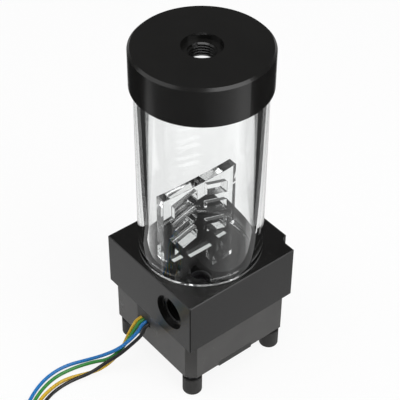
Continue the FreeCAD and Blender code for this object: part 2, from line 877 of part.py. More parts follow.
def wire(colour):
    """One wire: its lead from the guide to the coil, and its tail from the coil to the plug."""
    column = wire_coil_column[colour]
    x = first_wire_x + list(wire_routes).index(colour) * wire_pitch
    inside = (x, body_face_y + guide_depth, wire_exit_height)
    outside = (x, body_face_y - wire_straight_out, wire_exit_height)
    entry = coil_touch(column, coil_entry_angle, coil_first_layer, -1)
    lead = cord(f"{colour} lead", [inside, outside] + wire_routes[colour] + [entry])
    leave_angle = coil_entry_angle + 360 * turns_of(column)
    leave_height = coil_first_layer + coil_layer_height * turns_of(column)
    leave = coil_touch(column, leave_angle, leave_height, 1)
    pin_x = plug_pin_x(column)
    pin_z = plug_height / 2
    straight = tail_straight_share * (plug_back_y - leave[1])
    tail_points = [
        leave,
        (leave[0], leave[1] + straight, leave_height),
        (pin_x, plug_back_y - straight, pin_z),
        (pin_x, plug_back_y, pin_z),
    ]
    tail = cord(f"{colour} tail", tail_points)
    return Part.makeCompound([lead, tail])


def coil_section(margin):
    """The coil's rounded section, grown all round by a margin, as radii and heights."""
    half = wire_diameter / 2 + margin
    inner = coil_inner_turn_radius - half
    outer = coil_inner_turn_radius + coil_turn_spacing * (len(wire_routes) - 1) + half
    low = coil_first_layer - half
    high = coil_first_layer + coil_layer_height * turns_of(0) + half
    return inner, outer, low, high


def wire_coil():
    inner, outer, low, high = coil_section(0.0)
    body = tube(2 * outer, 2 * inner, low, high, coil_centre_x, coil_centre_y)
    rims = [e for e in body.Edges if hasattr(e.Curve, "Radius")]
    return body.makeFillet(wire_diameter / 2, rims)


def coil_tie():
    inner, outer, low, high = coil_section(fit_gap)
    half = tie_width / 2
    wall = tie_thickness
    x0 = coil_centre_x - half
    x1 = coil_centre_x + half
    near = coil_centre_y + math.sqrt(inner * inner - half * half)
    far = coil_centre_y + outer
    band = box(x0, x1, near - wall, far + wall, low - wall, high + wall)
    band = band.cut(box(x0, x1, near, far, low, high))
    head_left = x0 - tie_head_margin
    head_right = x1 + tie_head_margin
    head_near = near + tie_head_start
    head_far = head_near + tie_head_length
    top = high + wall
    head = box(head_left, head_right, head_near, head_far, top, top + tie_head_height)
    return band.fuse(head).removeSplitter()


def plug_pin_x(column):
    centre = coil_centre_x + coil_inner_turn_radius + 1.5 * coil_turn_spacing
    return centre + (column - 1.5) * plug_pin_pitch


def wire_plug():
    """A four-way connector housing with two guide ribs, lying on its back."""
    centre = (plug_pin_x(1) + plug_pin_x(2)) / 2
    front = plug_back_y + plug_length
    half = plug_width / 2
    body = box(centre - half, centre + half, plug_back_y, front, 0, plug_height)
    body = body.makeChamfer(plug_edge_break, [e for e in body.Edges if e.BoundBox.YLength > 1])
    rib_back = plug_back_y + plug_rib_start
    rib_top = plug_height + plug_rib_height
    for column in (1, 2.5):
        left = plug_pin_x(column) - plug_rib_width / 2
        body = body.fuse(box(left, left + plug_rib_width, rib_back, front, plug_height, rib_top))
    low = (plug_height - plug_socket_width) / 2
    high = low + plug_socket_width
    for column in range(len(wire_routes)):
        left = plug_pin_x(column) - plug_socket_width / 2
        right = left + plug_socket_width
        body = body.cut(box(left, right, front - plug_socket_depth, front, low, high))
    return body.removeSplitter()


PARTS = {
    "rubber_feet": rubber_feet,
    "foot_inserts": foot_inserts,
    "clamp_studs": clamp_studs,
    "clamp_nuts": clamp_nuts,
    "clamp_washers": clamp_washers,
    "pump_body": pump_body,
    "bottom_lid": bottom_lid,
    "circuit_board": circuit_board,
    "board_parts": board_parts,
    "wire_guide": wire_guide,
    "separation_can": separation_can,
    "bearing_ball": bearing_ball,
    "bearing_cup": bearing_cup,
    "stator_core": stator_core,
    "stator_coils": stator_coils,
    "impeller": impeller,
    "rotor_magnet": rotor_magnet,
    "pump_top": pump_top,
    "reservoir_tube": reservoir_tube,
    "flow_baffle": flow_baffle,
    "top_cap": top_cap,
    "pump_seal_ring": lambda: ring(pump_ring_mean_diameter, block_bottom),
    "base_seal_ring": lambda: ring(ring_mean_diameter, seat_floor - ring_section),
    "cap_seal_ring": lambda: ring(ring_mean_diameter, tube_top + seal_gap),
    "wire_yellow": lambda: wire("yellow"),
    "wire_green": lambda: wire("green"),
    "wire_blue": lambda: wire("blue"),
    "wire_black": lambda: wire("black"),
    "wire_coil": wire_coil,
    "coil_tie": coil_tie,
    "wire_plug": wire_plug,
}


def main():
    os.makedirs("parts", exist_ok=True)
    for name, make in PARTS.items():
        shape = make()
        solids = shape.Solids
        print(f"{name}: {len(solids)} solids, {shape.Volume / 1000:.2f} cm3, valid {shape.isValid()}")
        shape.exportStep(f"parts/{name}.step")


main()
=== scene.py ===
# %% [markdown]
# # Coolant pump reservoir
# A clear tube with a black screw cap stands on a square black pump top, and a small pump is
# bolted under it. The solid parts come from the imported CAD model, which stays as it is. This
# file adds what the CAD leaves out: finishes, threads, the polished tube, wires and the light.

# %% Load the CAD model as a fixed frame
import json
import math

import bmesh
import bpy
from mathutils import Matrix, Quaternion, Vector


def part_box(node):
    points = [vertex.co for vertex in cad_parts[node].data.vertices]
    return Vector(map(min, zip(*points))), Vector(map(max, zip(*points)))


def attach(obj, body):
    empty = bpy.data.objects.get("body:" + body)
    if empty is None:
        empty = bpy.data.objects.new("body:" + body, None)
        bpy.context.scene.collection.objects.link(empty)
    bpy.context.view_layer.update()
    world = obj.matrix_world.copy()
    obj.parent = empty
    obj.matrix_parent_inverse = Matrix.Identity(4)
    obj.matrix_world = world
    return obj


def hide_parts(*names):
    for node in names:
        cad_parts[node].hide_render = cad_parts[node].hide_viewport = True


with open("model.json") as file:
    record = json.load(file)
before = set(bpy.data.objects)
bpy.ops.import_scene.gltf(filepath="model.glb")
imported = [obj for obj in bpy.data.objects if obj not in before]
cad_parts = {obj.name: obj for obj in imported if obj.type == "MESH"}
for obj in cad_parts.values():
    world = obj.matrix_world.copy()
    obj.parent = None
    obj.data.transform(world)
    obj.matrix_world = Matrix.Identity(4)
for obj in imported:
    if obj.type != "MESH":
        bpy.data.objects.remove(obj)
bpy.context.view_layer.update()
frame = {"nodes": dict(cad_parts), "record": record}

MM = 0.001
nodes = frame["nodes"]

# %% [markdown]
# ## Camera
# The photograph was taken with a long lens from above the corner between the port side and the
# plain side. A camera is placed by a position and a point that it looks at, and then rolled by
# half a degree. The small shift moves the picture without turning the camera, as cropping a
# photograph does.

# %% Camera
camera_place = Vector((0.341922, -0.280082, 0.478758))
camera_target = Vector((0.0, 0.0, 0.0915))
camera_roll = Quaternion((0.0, 0.0, 1.0), math.radians(0.46))

camera = bpy.data.objects.new("camera", bpy.data.cameras.new("camera"))
bpy.context.scene.collection.objects.link(camera)
camera.location = camera_place
camera.rotation_mode = "QUATERNION"
camera.rotation_quaternion = (camera_target - camera_place).to_track_quat("-Z", "Y") @ camera_roll
camera.data.sensor_width = 36.0
camera.data.lens = 112.966
camera.data.shift_x = -0.00213
camera.data.shift_y = 0.00474
camera.data.clip_start = 0.01
bpy.context.scene.camera = camera
print("camera distance", round((camera_target - camera_place).length, 4))

# %% [markdown]
# ## Wires
# Four thin wires leave the pump through a guide, drop to the floor and run off to the left.
# Each is one smooth NURBS curve through loose air: its control points pull it along without
# corners. The length that the picture doesn't show is wound into a neat coil, four wires side
# by side, which ends in a four-way connector. A turn is a ring of control points, a little
# outside the circle that the curve then follows.

# %% Routes of the wires, in millimetres
wire_diameter = 1.8
wire_exit_height = 27.7
wire_inside_y = -24.85
wire_outside_y = -33.3

wire_routes = {
    "yellow": {"column": 1, "turns": 3.4, "exit_x": -7.8, "route": [
        (-9.7, -34.6, 22.8), (-10.1, -38.5, 16.1), (-9.9, -42.7, 8.8), (-11.0, -49.7, 3.4),
        (-12.8, -57.1, 1.0), (-18.4, -71.0, 1.0), (-17.2, -82.5, 1.0), (-12.7, -93.0, 1.0),
    ]},
    "green": {"column": 2, "turns": 3.4, "exit_x": -5.9, "route": [
        (-7.1, -34.6, 23.6), (-8.0, -38.7, 17.1), (-8.9, -43.8, 10.8), (-11.7, -49.5, 5.7),
        (-17.6, -54.8, 2.6), (-21.8, -65.0, 1.0), (-22.4, -75.5, 1.0), (-19.0, -86.3, 1.0),
        (-12.2, -97.0, 1.0),
    ]},
    "blue": {"column": 3, "turns": 3.4, "exit_x": -4.0, "route": [
        (-4.5, -34.8, 23.2), (-6.1, -40.0, 18.0), (-8.8, -44.8, 12.9), (-14.5, -50.5, 7.1),
        (-20.5, -55.7, 2.4), (-25.4, -66.0, 1.0), (-25.2, -77.0, 1.0), (-21.0, -88.0, 1.0),
        (-12.9, -99.2, 1.0),
    ]},
    "black": {"column": 0, "turns": 4.4, "exit_x": -2.1, "route": [
        (-2.1, -34.4, 22.3), (-4.9, -40.0, 15.8), (-7.6, -45.7, 10.0), (-10.8, -52.0, 5.7),
        (-11.9, -59.7, 3.0), (-15.6, -70.0, 1.0), (-15.0, -81.0, 1.0), (-11.0, -90.6, 1.0),
    ]},
}

# %% Turns of the coil
coil_centre = (12.0, -103.0)
coil_inner_radius = 12.1
coil_spacing = 1.9
coil_layer = 1.85
coil_first_height = 1.5
coil_entry_angle = 216.0
last_column = 3
tangent_inset = 0.1
coil_outer_radius = (
    coil_inner_radius + last_column * coil_spacing + wire_diameter / 2 - tangent_inset
)
points_per_turn = 32


def coil_spot(radius, angle, height):
    """A point of the coil, from its distance to the coil's middle, its angle and its height."""
    turn = math.radians(angle)
    return Vector((
        coil_centre[0] + radius * math.cos(turn), coil_centre[1] + radius * math.sin(turn), height,
    ))


def coil_edge(radius, angle, height, way):
    """Where a wire crosses the coil's outer edge, straight before a turn (-1) or after it (1)."""
    turn = math.radians(angle)
    chord = way * math.sqrt(coil_outer_radius ** 2 - radius ** 2)
    along = Vector((-math.sin(turn), math.cos(turn), 0.0))
    return coil_spot(radius, angle, height) + chord * along


def coil_points(radius, turns):
    """The control points of one wire's turns, from the coil's edge to its edge again."""
    points = [coil_edge(radius, coil_entry_angle, coil_first_height, -1)]
    bulge = radius / math.cos(math.pi / points_per_turn)
    steps = round(points_per_turn * turns)
    for i in range(steps + 1):
        share = i / steps * turns
        height = coil_first_height + coil_layer * share
        points.append(coil_spot(bulge, coil_entry_angle + 360 * share, height))
    leave_height = coil_first_height + coil_layer * turns
    points.append(coil_edge(radius, coil_entry_angle + 360 * turns, leave_height, 1))
    return points


# %% One wire from the guide through the coil to the connector
plug_back_y = -71.0
plug_pin_height = 3.0
plug_pin_pitch = 2.54
middle_column = last_column / 2
tail_share = 0.3


def tail_points(leave, column):
    """The last stretch: on out of the coil, then straight into the connector's back."""
    straight = tail_share * (plug_back_y - leave.y)
    plug_x = coil_centre[0] + coil_inner_radius + middle_column * coil_spacing
    pin_x = plug_x + (column - middle_column) * plug_pin_pitch
    return [
        leave + Vector((0, straight, 0)),
        Vector((pin_x, plug_back_y - straight, plug_pin_height)),
        Vector((pin_x, plug_back_y, plug_pin_height)),
    ]


def wire_points(wire):
    """All control points of one wire, in millimetres."""
    inside = Vector((wire["exit_x"], wire_inside_y, wire_exit_height))
    outside = Vector((wire["exit_x"], wire_outside_y, wire_exit_height))
    route = [Vector(place) for place in wire["route"]]
    coil = coil_points(coil_inner_radius + coil_spacing * wire["column"], wire["turns"])
    return [inside, outside, *route, *coil, *tail_points(coil[-1], wire["column"])]


def wire_curve(colour):
    """A round NURBS curve along a wire's control points."""
    curve = bpy.data.curves.new(f"lead_{colour}", "CURVE")
    curve.dimensions = "3D"
    curve.bevel_depth = 1.0
    curve.bevel_resolution = 4
    curve.resolution_u = 6
    curve.use_fill_caps = True
    spline = curve.splines.new("NURBS")
    points = wire_points(wire_routes[colour])
    spline.points.add(len(points) - 1)
    for point, place in zip(spline.points, points):
        point.co = (*(place * MM), 1.0)
        point.radius = wire_diameter / 2 * MM
    spline.order_u = 3
    spline.use_endpoint_u = True
    lead = bpy.data.objects.new(f"lead_{colour}", curve)
    bpy.context.scene.collection.objects.link(lead)
    return lead


leads = {}
for colour, wire in wire_routes.items():
    lead = wire_curve(colour)
    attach(lead, "reservoir")
    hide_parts(f"wire_{colour}", "wire_coil")
    leads[colour] = lead
    measured = sum(s.calc_length() for s in lead.data.splines)
    print(colour, "wire", round(measured, 4), "m long")

# %% [markdown]
# ## Shader maths
# A material is a graph of nodes. To write sums as Python instead of as boxes and links, one
# small class wraps a socket, and its operators add Math nodes. One function adds any other node.


# %% A socket that can be used in sums
class Shade:
    """One output socket of a material's node tree."""

    def __init__(self, tree, socket):
        self.tree = tree
        self.socket = socket

    def math(self, operation, *others):
        return add_node(self.tree, "ShaderNodeMath", {"operation": operation}, [self, *others])

    def at_least(self, other):
        return self.math("MAXIMUM", other)

    def __add__(self, other):
        return self.math("ADD", other)

    __radd__ = __add__

    def __rsub__(self, other):
        return add_node(self.tree, "ShaderNodeMath", {"operation": "SUBTRACT"}, [other, self])

    def __mul__(self, other):
        return self.math("MULTIPLY", other)

    __rmul__ = __mul__

    def __truediv__(self, other):
        return self.math("DIVIDE", other)

    def __pow__(self, other):
        return self.math("POWER", other)


# %% Any other node
def connect(tree, socket, value):
    """Links a socket to a Shade, or sets it to a constant. Colours get full opacity."""
    if isinstance(value, Shade):
        tree.links.new(value.socket, socket)
    elif socket.type == "RGBA" and len(value) == 3:
        socket.default_value = (*value, 1.0)
    else:
        socket.default_value = value


def add_node(tree, kind, settings=None, values=(), output=0):
    """Adds a node: its settings first, then the values or links of its sockets."""
    node = tree.nodes.new(kind)
    for name, value in (settings or {}).items():
        setattr(node, name, value)
    pairs = values.items() if isinstance(values, dict) else enumerate(values)
    for key, value in pairs:
        connect(tree, node.inputs[key], value)
    return Shade(tree, node.outputs[output])


def map_range(tree, value, low, high, new_low, new_high):
    """Turns the range from low to high into the range from new_low to new_high, and no further."""
    values = {
        "Value": value, "From Min": low, "From Max": high, "To Min": new_low, "To Max": new_high,
    }
    return add_node(tree, "ShaderNodeMapRange", {"clamp": True}, values)


def grey_ramp(tree, value, stops):
    """A Color Ramp of greys, from pairs of a position and a level."""
    levels = add_node(tree, "ShaderNodeValToRGB", {}, [value])
    ramp = levels.socket.node.color_ramp.elements
    while len(ramp) < len(stops):
        ramp.new(0.5)
    for element, (position, level) in zip(ramp, stops):
        element.position = position
        element.color = (level, level, level, 1.0)
    return levels


# %% [markdown]
# ## Finishes
# Every finish starts from the Principled shader. Patterns read Object coordinates, which here
# are metres in the part's own frame, so marks have their true size: tool marks a few tenths of a
# millimetre apart, the grain of a moulded surface about as fine. A scale says how many grains
# there are to a metre, and a depth is in metres too.


# %% Helpers for finishes
def new_material(name):
    material = bpy.data.materials.new(name)
    material.use_nodes = True
    return material, material.node_tree


def principled(tree, **values):
    """Sets the Principled shader's sockets. An underscore stands for a space in their names."""
    shader = tree.nodes["Principled BSDF"]
    for name, value in values.items():
        connect(tree, shader.inputs[name.replace("_", " ")], value)
    return shader


def place_of(tree):
    return add_node(tree, "ShaderNodeTexCoord", output="Object")


def axis_values(tree, place):
    split = tree.nodes.new("ShaderNodeSeparateXYZ")
    tree.links.new(place.socket, split.inputs[0])
    return [Shade(tree, output) for output in split.outputs]


def stretched(tree, place, scale):
    return add_node(tree, "ShaderNodeMapping", {}, {"Vector": place, "Scale": scale})


def noise(tree, place, scale, detail):
    values = {"Vector": place, "Scale": scale, "Detail": detail}
    return add_node(tree, "ShaderNodeTexNoise", {}, values)


def blend_colours(tree, share, first, second):
    """Mixes two colours. The Mix node has its colour sockets at fixed places in its list."""
    mix = add_node(tree, "ShaderNodeMix", {"data_type": "RGBA"}, {"Factor": share}, output=2)
    node = mix.socket.node
    connect(tree, node.inputs[6], first)
    connect(tree, node.inputs[7], second)
    return mix


def clouded(tree, cloud, tone, contrast):
    """A tone that gets a little darker and lighter with the clouds."""
    low = [(1 - contrast) * t for t in tone]
    high = [(1 + contrast) * t for t in tone]
    return blend_colours(tree, cloud, low, high)


def bump(tree, height, depth):
    return add_node(tree, "ShaderNodeBump", {}, {"Height": height, "Distance": depth, "Strength": 1.0})


# %% Machined black acetal of the pump top, and the grey of the pump body
mill_grain = 2600.0
mill_streaks = (180.0, 180.0, 5200.0)
mill_clouds = 60.0
tool_mark_depth = 0.000003


def machined_black(name, tone, rough):
    """Level tool marks with a fine grain, and clouds where the surface is duller."""
    material, tree = new_material(name)
    place = place_of(tree)
    fine = noise(tree, place, mill_grain, 3.0)
    streaks = noise(tree, stretched(tree, place, mill_streaks), 1.0, 2.0)
    cloud = noise(tree, place, mill_clouds, 3.0)
    principled(
        tree, Base_Color=clouded(tree, cloud, tone, 0.25),
        Roughness=rough + 0.12 * cloud + 0.05 * fine,
        Normal=bump(tree, fine * 0.5 + streaks, tool_mark_depth),
    )
    return material


block_black = machined_black("machined_black", (0.0075, 0.0072, 0.0070), 0.14)
body_grey = machined_black("moulded_grey", (0.062, 0.0605, 0.0585), 0.16)
print("finishes", block_black.name, body_grey.name)

# %% Turned black acetal of the cap, with rings around its axis
ring_waves = 9000.0
turned_clouds = 55.0
turned_grain = 2200.0


def turned_black(name, tone, rough):
    """Fine rings around the Z axis, on the top as well as on the side."""
    material, tree = new_material(name)
    place = place_of(tree)
    x, y, z = axis_values(tree, place)
    radius = (x * x + y * y) ** 0.5
    rings = (radius * ring_waves + z * ring_waves).math("SINE")
    cloud = noise(tree, place, turned_clouds, 3.0)
    fine = noise(tree, place, turned_grain, 3.0)
    principled(
        tree, Base_Color=clouded(tree, cloud, tone, 0.2), Roughness=rough + 0.10 * cloud,
        Normal=bump(tree, rings * 0.5 + fine, tool_mark_depth),
    )
    return material


cap_black = turned_black("turned_black", (0.0082, 0.0080, 0.0076), 0.17)
print("finish", cap_black.name)

# %% Plain finishes: rubber, metals, wire insulation, moulded parts
grains_in_a_cloud = 30.0


def speckled(name, tone, rough, grain, depth, metallic=0.0, contrast=0.15):
    """A fine grain of bumps, and clouds thirty times as wide that vary the tone."""
    material, tree = new_material(name)
    place = place_of(tree)
    fine = noise(tree, place, grain, 3.0)
    cloud = noise(tree, place, grain / grains_in_a_cloud, 2.0)
    principled(
        tree, Base_Color=clouded(tree, cloud, tone, contrast), Metallic=metallic,
        Roughness=rough + 0.1 * fine, Normal=bump(tree, fine, depth),
    )
    return material


finishes = {
    "block_black": block_black,
    "body_grey": body_grey,
    "cap": cap_black,
    "foot_rubber": speckled("rubber", (0.030, 0.029, 0.028), 0.52, 1800.0, 0.00001),
    "zinc_steel": speckled("zinc_plate", (0.62, 0.62, 0.60), 0.28, 900.0, 0.000003, 1.0),
    "dark_steel": speckled("black_zinc", (0.10, 0.10, 0.105), 0.32, 900.0, 0.000003, 1.0),
    "lid_black": speckled("moulded_black", (0.030, 0.030, 0.029), 0.42, 1500.0, 0.000006),
    "board_green": speckled("solder_mask", (0.02, 0.12, 0.05), 0.3, 700.0, 0.000004),
    "chip_black": speckled("chip_black", (0.02, 0.02, 0.02), 0.5, 2500.0, 0.000005),
    "can_plastic": speckled("can_plastic", (0.05, 0.05, 0.05), 0.4, 1500.0, 0.000005),
    "ball_ceramic": speckled("ceramic", (0.80, 0.79, 0.74), 0.12, 400.0, 0.000001),
    "cup_graphite": speckled("graphite", (0.07, 0.07, 0.08), 0.45, 2000.0, 0.000004),
    "stator_steel": speckled("core_steel", (0.40, 0.40, 0.41), 0.4, 1200.0, 0.000004, 1.0),
    "coil_copper": speckled("copper", (0.75, 0.30, 0.12), 0.3, 800.0, 0.000006, 1.0),
    "impeller_black": speckled("impeller_black", (0.035, 0.035, 0.037), 0.4, 1200.0, 0.000004),
    "magnet_dark": speckled("ferrite", (0.09, 0.08, 0.08), 0.5, 1500.0, 0.000006),
    "seal_rubber": speckled("seal_rubber", (0.018, 0.018, 0.018), 0.4, 1500.0, 0.000003),
    "wire_yellow": speckled("insulation_yellow", (0.80, 0.50, 0.03), 0.30, 900.0, 0.000004),
    "wire_green": speckled("insulation_green", (0.045, 0.30, 0.06), 0.30, 900.0, 0.000004),
    "wire_blue": speckled("insulation_blue", (0.02, 0.22, 0.62), 0.30, 900.0, 0.000004),
    "wire_black": speckled("insulation_black", (0.018, 0.018, 0.018), 0.30, 900.0, 0.000004),
    "plug_black": speckled("plug_black", (0.025, 0.025, 0.025), 0.40, 1500.0, 0.000006),
}

# %% Clear acrylic: polished and sawn, and rough cut faces with a painted highlight
acrylic_index = 1.49
acrylic_tint = (0.985, 0.992, 0.990)
acrylic_shadow = (0.96, 0.965, 0.965)


def clear_acrylic(name, rough):
    """Acrylic that lets the lamps' light through, so that it throws hardly any shadow."""
    material, tree = new_material(name)
    shader = principled(
        tree, Base_Color=acrylic_tint, Roughness=rough, IOR=acrylic_index,
        Transmission_Weight=1.0,
    )
    is_shadow = add_node(tree, "ShaderNodeLightPath", output="Is Shadow Ray")
    clear = add_node(tree, "ShaderNodeBsdfTransparent", {}, {"Color": acrylic_shadow})
    shares = [is_shadow, Shade(tree, shader.outputs[0]), clear]
    mix = add_node(tree, "ShaderNodeMixShader", {}, shares)
    tree.links.new(mix.socket, tree.nodes["Material Output"].inputs[0])
    return material


finishes["clear_acrylic"] = clear_acrylic("clear_acrylic", 0.0)
finishes["sawn_acrylic"] = clear_acrylic("sawn_acrylic", 0.12)
# The cut ceilings are rough, and their opaque near-white is a painted highlight that stands in for the
# bright light they catch.
finishes["cut_acrylic_painted_highlight"] = speckled(
    "cut_acrylic_painted_highlight", (0.95, 0.96, 0.95), 0.45, 2500.0, 0.000004, contrast=0.04,
)
print(len(finishes), "finishes")

# %% Give every CAD node and every wire its finish
slots = {part["node"]: part["material_slot"] for part in frame["record"]["subparts"]}
slots["top_cap"] = "cap"
for name, node in nodes.items():
    finish = finishes.get(slots[name])
    if finish is None:
        print(name, "keeps its plain finish, because the wires stand for it")
        continue
    node.data.materials.clear()
    node.data.materials.append(finish)
for colour, lead in leads.items():
    lead.data.materials.append(finishes[f"wire_{colour}"])

# %% [markdown]
# ## Polished tube
# The tube's thick wall bends the light behind it, so its roundness matters more than any other
# piece's. The CAD tube is made of flat facets. This one is turned instead: half of the wall's
# section is spun around the axis in many steps, with small roundings at the shoulders that
# catch the light, and shaded smooth. Its two ends have the teeth of a thread and a plain relief.

# %% Finish a mesh, and turn a closed section around the Z axis
turning_steps = 192


def finished(name, bm, sharp=35.0):
    """Makes an object of a mesh, smooth except where it bends by more than sharp degrees."""
    mesh = bpy.data.meshes.new(name)
    bm.to_mesh(mesh)
    bm.free()
    mesh.shade_smooth()
    mesh.set_sharp_from_angle(angle=math.radians(sharp))
    made = bpy.data.objects.new(name, mesh)
    bpy.context.scene.collection.objects.link(made)
    print(name, len(mesh.polygons), "faces")
    return made


def turned(name, section):
    """Spins a closed section, given as (radius, height) in metres, around the Z axis."""
    bm = bmesh.new()
    verts = [bm.verts.new((r, 0.0, z)) for r, z in section]
    edges = [bm.edges.new((a, b)) for a, b in zip(verts, verts[1:] + verts[:1])]
    bmesh.ops.spin(
        bm, geom=verts + edges, cent=(0, 0, 0), axis=(0, 0, 1), angle=math.tau,
        steps=turning_steps, use_merge=True, use_duplicate=False,
    )
    bmesh.ops.remove_doubles(bm, verts=bm.verts, dist=1e-7)
    bmesh.ops.recalc_face_normals(bm, faces=bm.faces)
    return finished(name, bm)


# %% Outline of the tube's wall
tube_outer = 30.0 * MM
tube_inner = 25.0 * MM
cap_gap = 0.2 * MM
shoulder_bevel = 0.35 * MM
bevel_steps = 4
edge_strip = 0.05 * MM
tube_thread_radius = 29.0 * MM
tube_thread_pitch = 1.5 * MM
crest_start, crest_end = 0.35, 0.65
relief_radius = 27.2 * MM
relief_height = 1.2 * MM
relief_fillet = 0.15 * MM


def rounded(radius, height, way):
    """The outer corner of a shoulder, as a quarter circle. Way is +1 for an upper shoulder.

    A narrow strip of the wall next to it keeps the rest of the wall's shading exact."""
    corner = [(radius, height - way * (shoulder_bevel + edge_strip))]
    for i in range(bevel_steps + 1):
        turn = math.pi / 2 * i / bevel_steps
        inward = shoulder_bevel * (1 - math.cos(turn))
        back = way * shoulder_bevel * (1 - math.sin(turn))
        corner.append((radius - inward, height - back))
    corner.append((radius - shoulder_bevel - edge_strip, height))
    return corner


def thread_profile(tip, shoulder):
    """The turned-down end from its tip to its shoulder: thread teeth, then a plain relief."""
    way = 1 if shoulder > tip else -1
    profile = [(relief_radius, tip)]
    teeth = int((abs(shoulder - tip) - relief_height) / tube_thread_pitch)
    for i in range(teeth):
        foot = tip + way * tube_thread_pitch * i
        profile += [
            (tube_thread_radius, foot + way * crest_start * tube_thread_pitch),
            (tube_thread_radius, foot + way * crest_end * tube_thread_pitch),
            (relief_radius, foot + way * tube_thread_pitch),
        ]
    profile.append((relief_radius, shoulder - way * relief_fillet))
    profile.append((relief_radius + relief_fillet, shoulder))
    return profile


# %% The tube
tube_low, tube_high = [corner.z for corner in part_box("reservoir_tube")]
block_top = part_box("pump_top")[1].z
shoulder_low = block_top
shoulder_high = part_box("top_cap")[0].z - cap_gap

tube_section = [
    (tube_inner, tube_low),
    *thread_profile(tube_low, shoulder_low),
    *reversed(rounded(tube_outer, shoulder_low, -1)),
    *rounded(tube_outer, shoulder_high, 1),
    *reversed(thread_profile(tube_high, shoulder_high)),
    (tube_inner, tube_high),
]
clear_tube = turned("clear_tube", tube_section)
clear_tube.data.materials.append(finishes["clear_acrylic"])
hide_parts("reservoir_tube")
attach(clear_tube, "reservoir")

# %% [markdown]
# ## Flow baffle
# The baffle is the CAD baffle with its flat faces joined again and every edge bevelled, because
# an acrylic edge is what catches the light. Its faces and its rim are polished. The cut-outs are
# left as they were sawn, dull. The level ceilings at its foot are rough, and their opaque
# near-white is a painted highlight that stands in for the light they catch.

# %% Bevel the baffle
edge_bevel = 0.14 * MM
same_point = 1e-6
flat_angle = math.radians(1.0)
edge_angle = math.radians(20.0)

baffle = bmesh.new()
baffle.from_mesh(nodes["flow_baffle"].data)
baffle.transform(nodes["flow_baffle"].matrix_world)
bmesh.ops.remove_doubles(baffle, verts=baffle.verts, dist=same_point)
bmesh.ops.dissolve_limit(baffle, angle_limit=flat_angle, verts=baffle.verts, edges=baffle.edges)
sharp_edges = [edge for edge in baffle.edges if edge.calc_face_angle(0.0) > edge_angle]
bmesh.ops.bevel(
    baffle, geom=sharp_edges, offset=edge_bevel, offset_type="OFFSET", affect="EDGES",
    segments=1, profile=0.5, clamp_overlap=True, material=-1,
)
bmesh.ops.recalc_face_normals(baffle, faces=baffle.faces)
print("bevelled", len(sharp_edges), "edges")

# %% Polished and sawn faces of the baffle, and the painted highlight on its ceilings
baffle_finishes = ["clear_acrylic", "sawn_acrylic", "cut_acrylic_painted_highlight"]
baffle_low, baffle_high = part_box("flow_baffle")
rim_width = 0.5 * MM
painted_highlight_top = block_top + 1.0 * MM
level_ceiling = -0.95
plate_face = 0.05


def baffle_finish(face):
    """The finish of one face. A cut-out's face isn't at the rim and isn't part of the plate's."""
    middle = face.calc_center_median()
    for low, place, high in zip(baffle_low, middle, baffle_high):
        if not low + rim_width < place < high - rim_width:
            return "clear_acrylic"
    # Level ceilings at the foot get the opaque near-white painted highlight.
    if face.normal.z < level_ceiling and middle.z < painted_highlight_top:
        return "cut_acrylic_painted_highlight"
    if abs(face.normal.z) > plate_face:
        return "sawn_acrylic"
    return "clear_acrylic"


for face in baffle.faces:
    face.material_index = baffle_finishes.index(baffle_finish(face))
clear_baffle = finished("clear_baffle", baffle, 20.0)
for number, finish in enumerate(baffle_finishes):
    clear_baffle.data.materials.append(finishes[finish])
    count = sum(face.material_index == number for face in clear_baffle.data.polygons)
    print(finish, "on", count, "faces")
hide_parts("flow_baffle")
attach(clear_baffle, "reservoir")

# %% [markdown]
# ## Threads of the ports
# A port's thread is one ridge that climbs around the hole. Its section, a small trapezoid, is
# spun around the hole's axis while a step along the axis is added at each turn of the spin.


# %% A ridge that climbs around an axis
port_pitch = 1.337 * MM
port_root = 6.58 * MM
port_crest = 5.80 * MM
ridge_half = 0.46 * port_pitch
crest_half = 0.10 * port_pitch
steps_per_turn = 40


def thread_ridge(name, start, axis, length, material, body):
    """A port's thread from its inner end, along the axis, for a length. All are in metres."""
    start, axis = Vector(start), Vector(axis)
    side = axis.orthogonal().normalized()
    section = [
        (port_root, -ridge_half), (port_crest, -crest_half),
        (port_crest, crest_half), (port_root, ridge_half),
    ]
    bm = bmesh.new()
    low = start + axis * ridge_half
    first = bm.faces.new([bm.verts.new(low + side * r + axis * h) for r, h in section])
    turns = (length - 2 * ridge_half) / port_pitch
    steps = round(steps_per_turn * turns)
    bmesh.ops.spin(
        bm, geom=[first], cent=start, axis=axis, angle=math.tau * turns, steps=steps,
        dvec=axis * port_pitch * turns / steps, use_merge=False, use_duplicate=False,
    )
    bmesh.ops.recalc_face_normals(bm, faces=bm.faces)
    ridge = finished(name, bm, 25.0)
    ridge.data.materials.append(material)
    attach(ridge, body)


# %% The three ports' threads
ports_height = 51.1 * MM
cap_port_start = (0, 0, 169.6 * MM)
outlet_start = (16.15 * MM, -24.2 * MM, ports_height)
inlet_start = (4.7 * MM, 25.0 * MM, ports_height)

thread_ridge("cap_port_thread", cap_port_start, (0, 0, 1), 7.0 * MM, cap_black, "cap")
thread_ridge("outlet_port_thread", outlet_start, (0, -1, 0), 5.8 * MM, block_black, "reservoir")
thread_ridge("inlet_port_thread", inlet_start, (0, 1, 0), 8.6 * MM, block_black, "reservoir")

# %% [markdown]
# ## Floor, room and lamps
# The photograph was lit on white paper with dark surroundings at both sides, which is what
# draws the dark bands in the tube's edges. The floor is white to the eye and behind the tube,
# and keeps a soft shadow. Where the part mirrors it, the floor glows with painted light and
# shade: brighter to the right, with a painted shade in front and to the left. Dark cards beside
# the view aren't seen themselves, only in reflections and through the tube.

# %% Directions of the view along the floor
view_yaw = math.atan2(camera_place.y, camera_place.x)
forward = Vector((math.cos(view_yaw), math.sin(view_yaw), 0.0))
sideways = Vector((-math.sin(view_yaw), math.cos(view_yaw), 0.0))
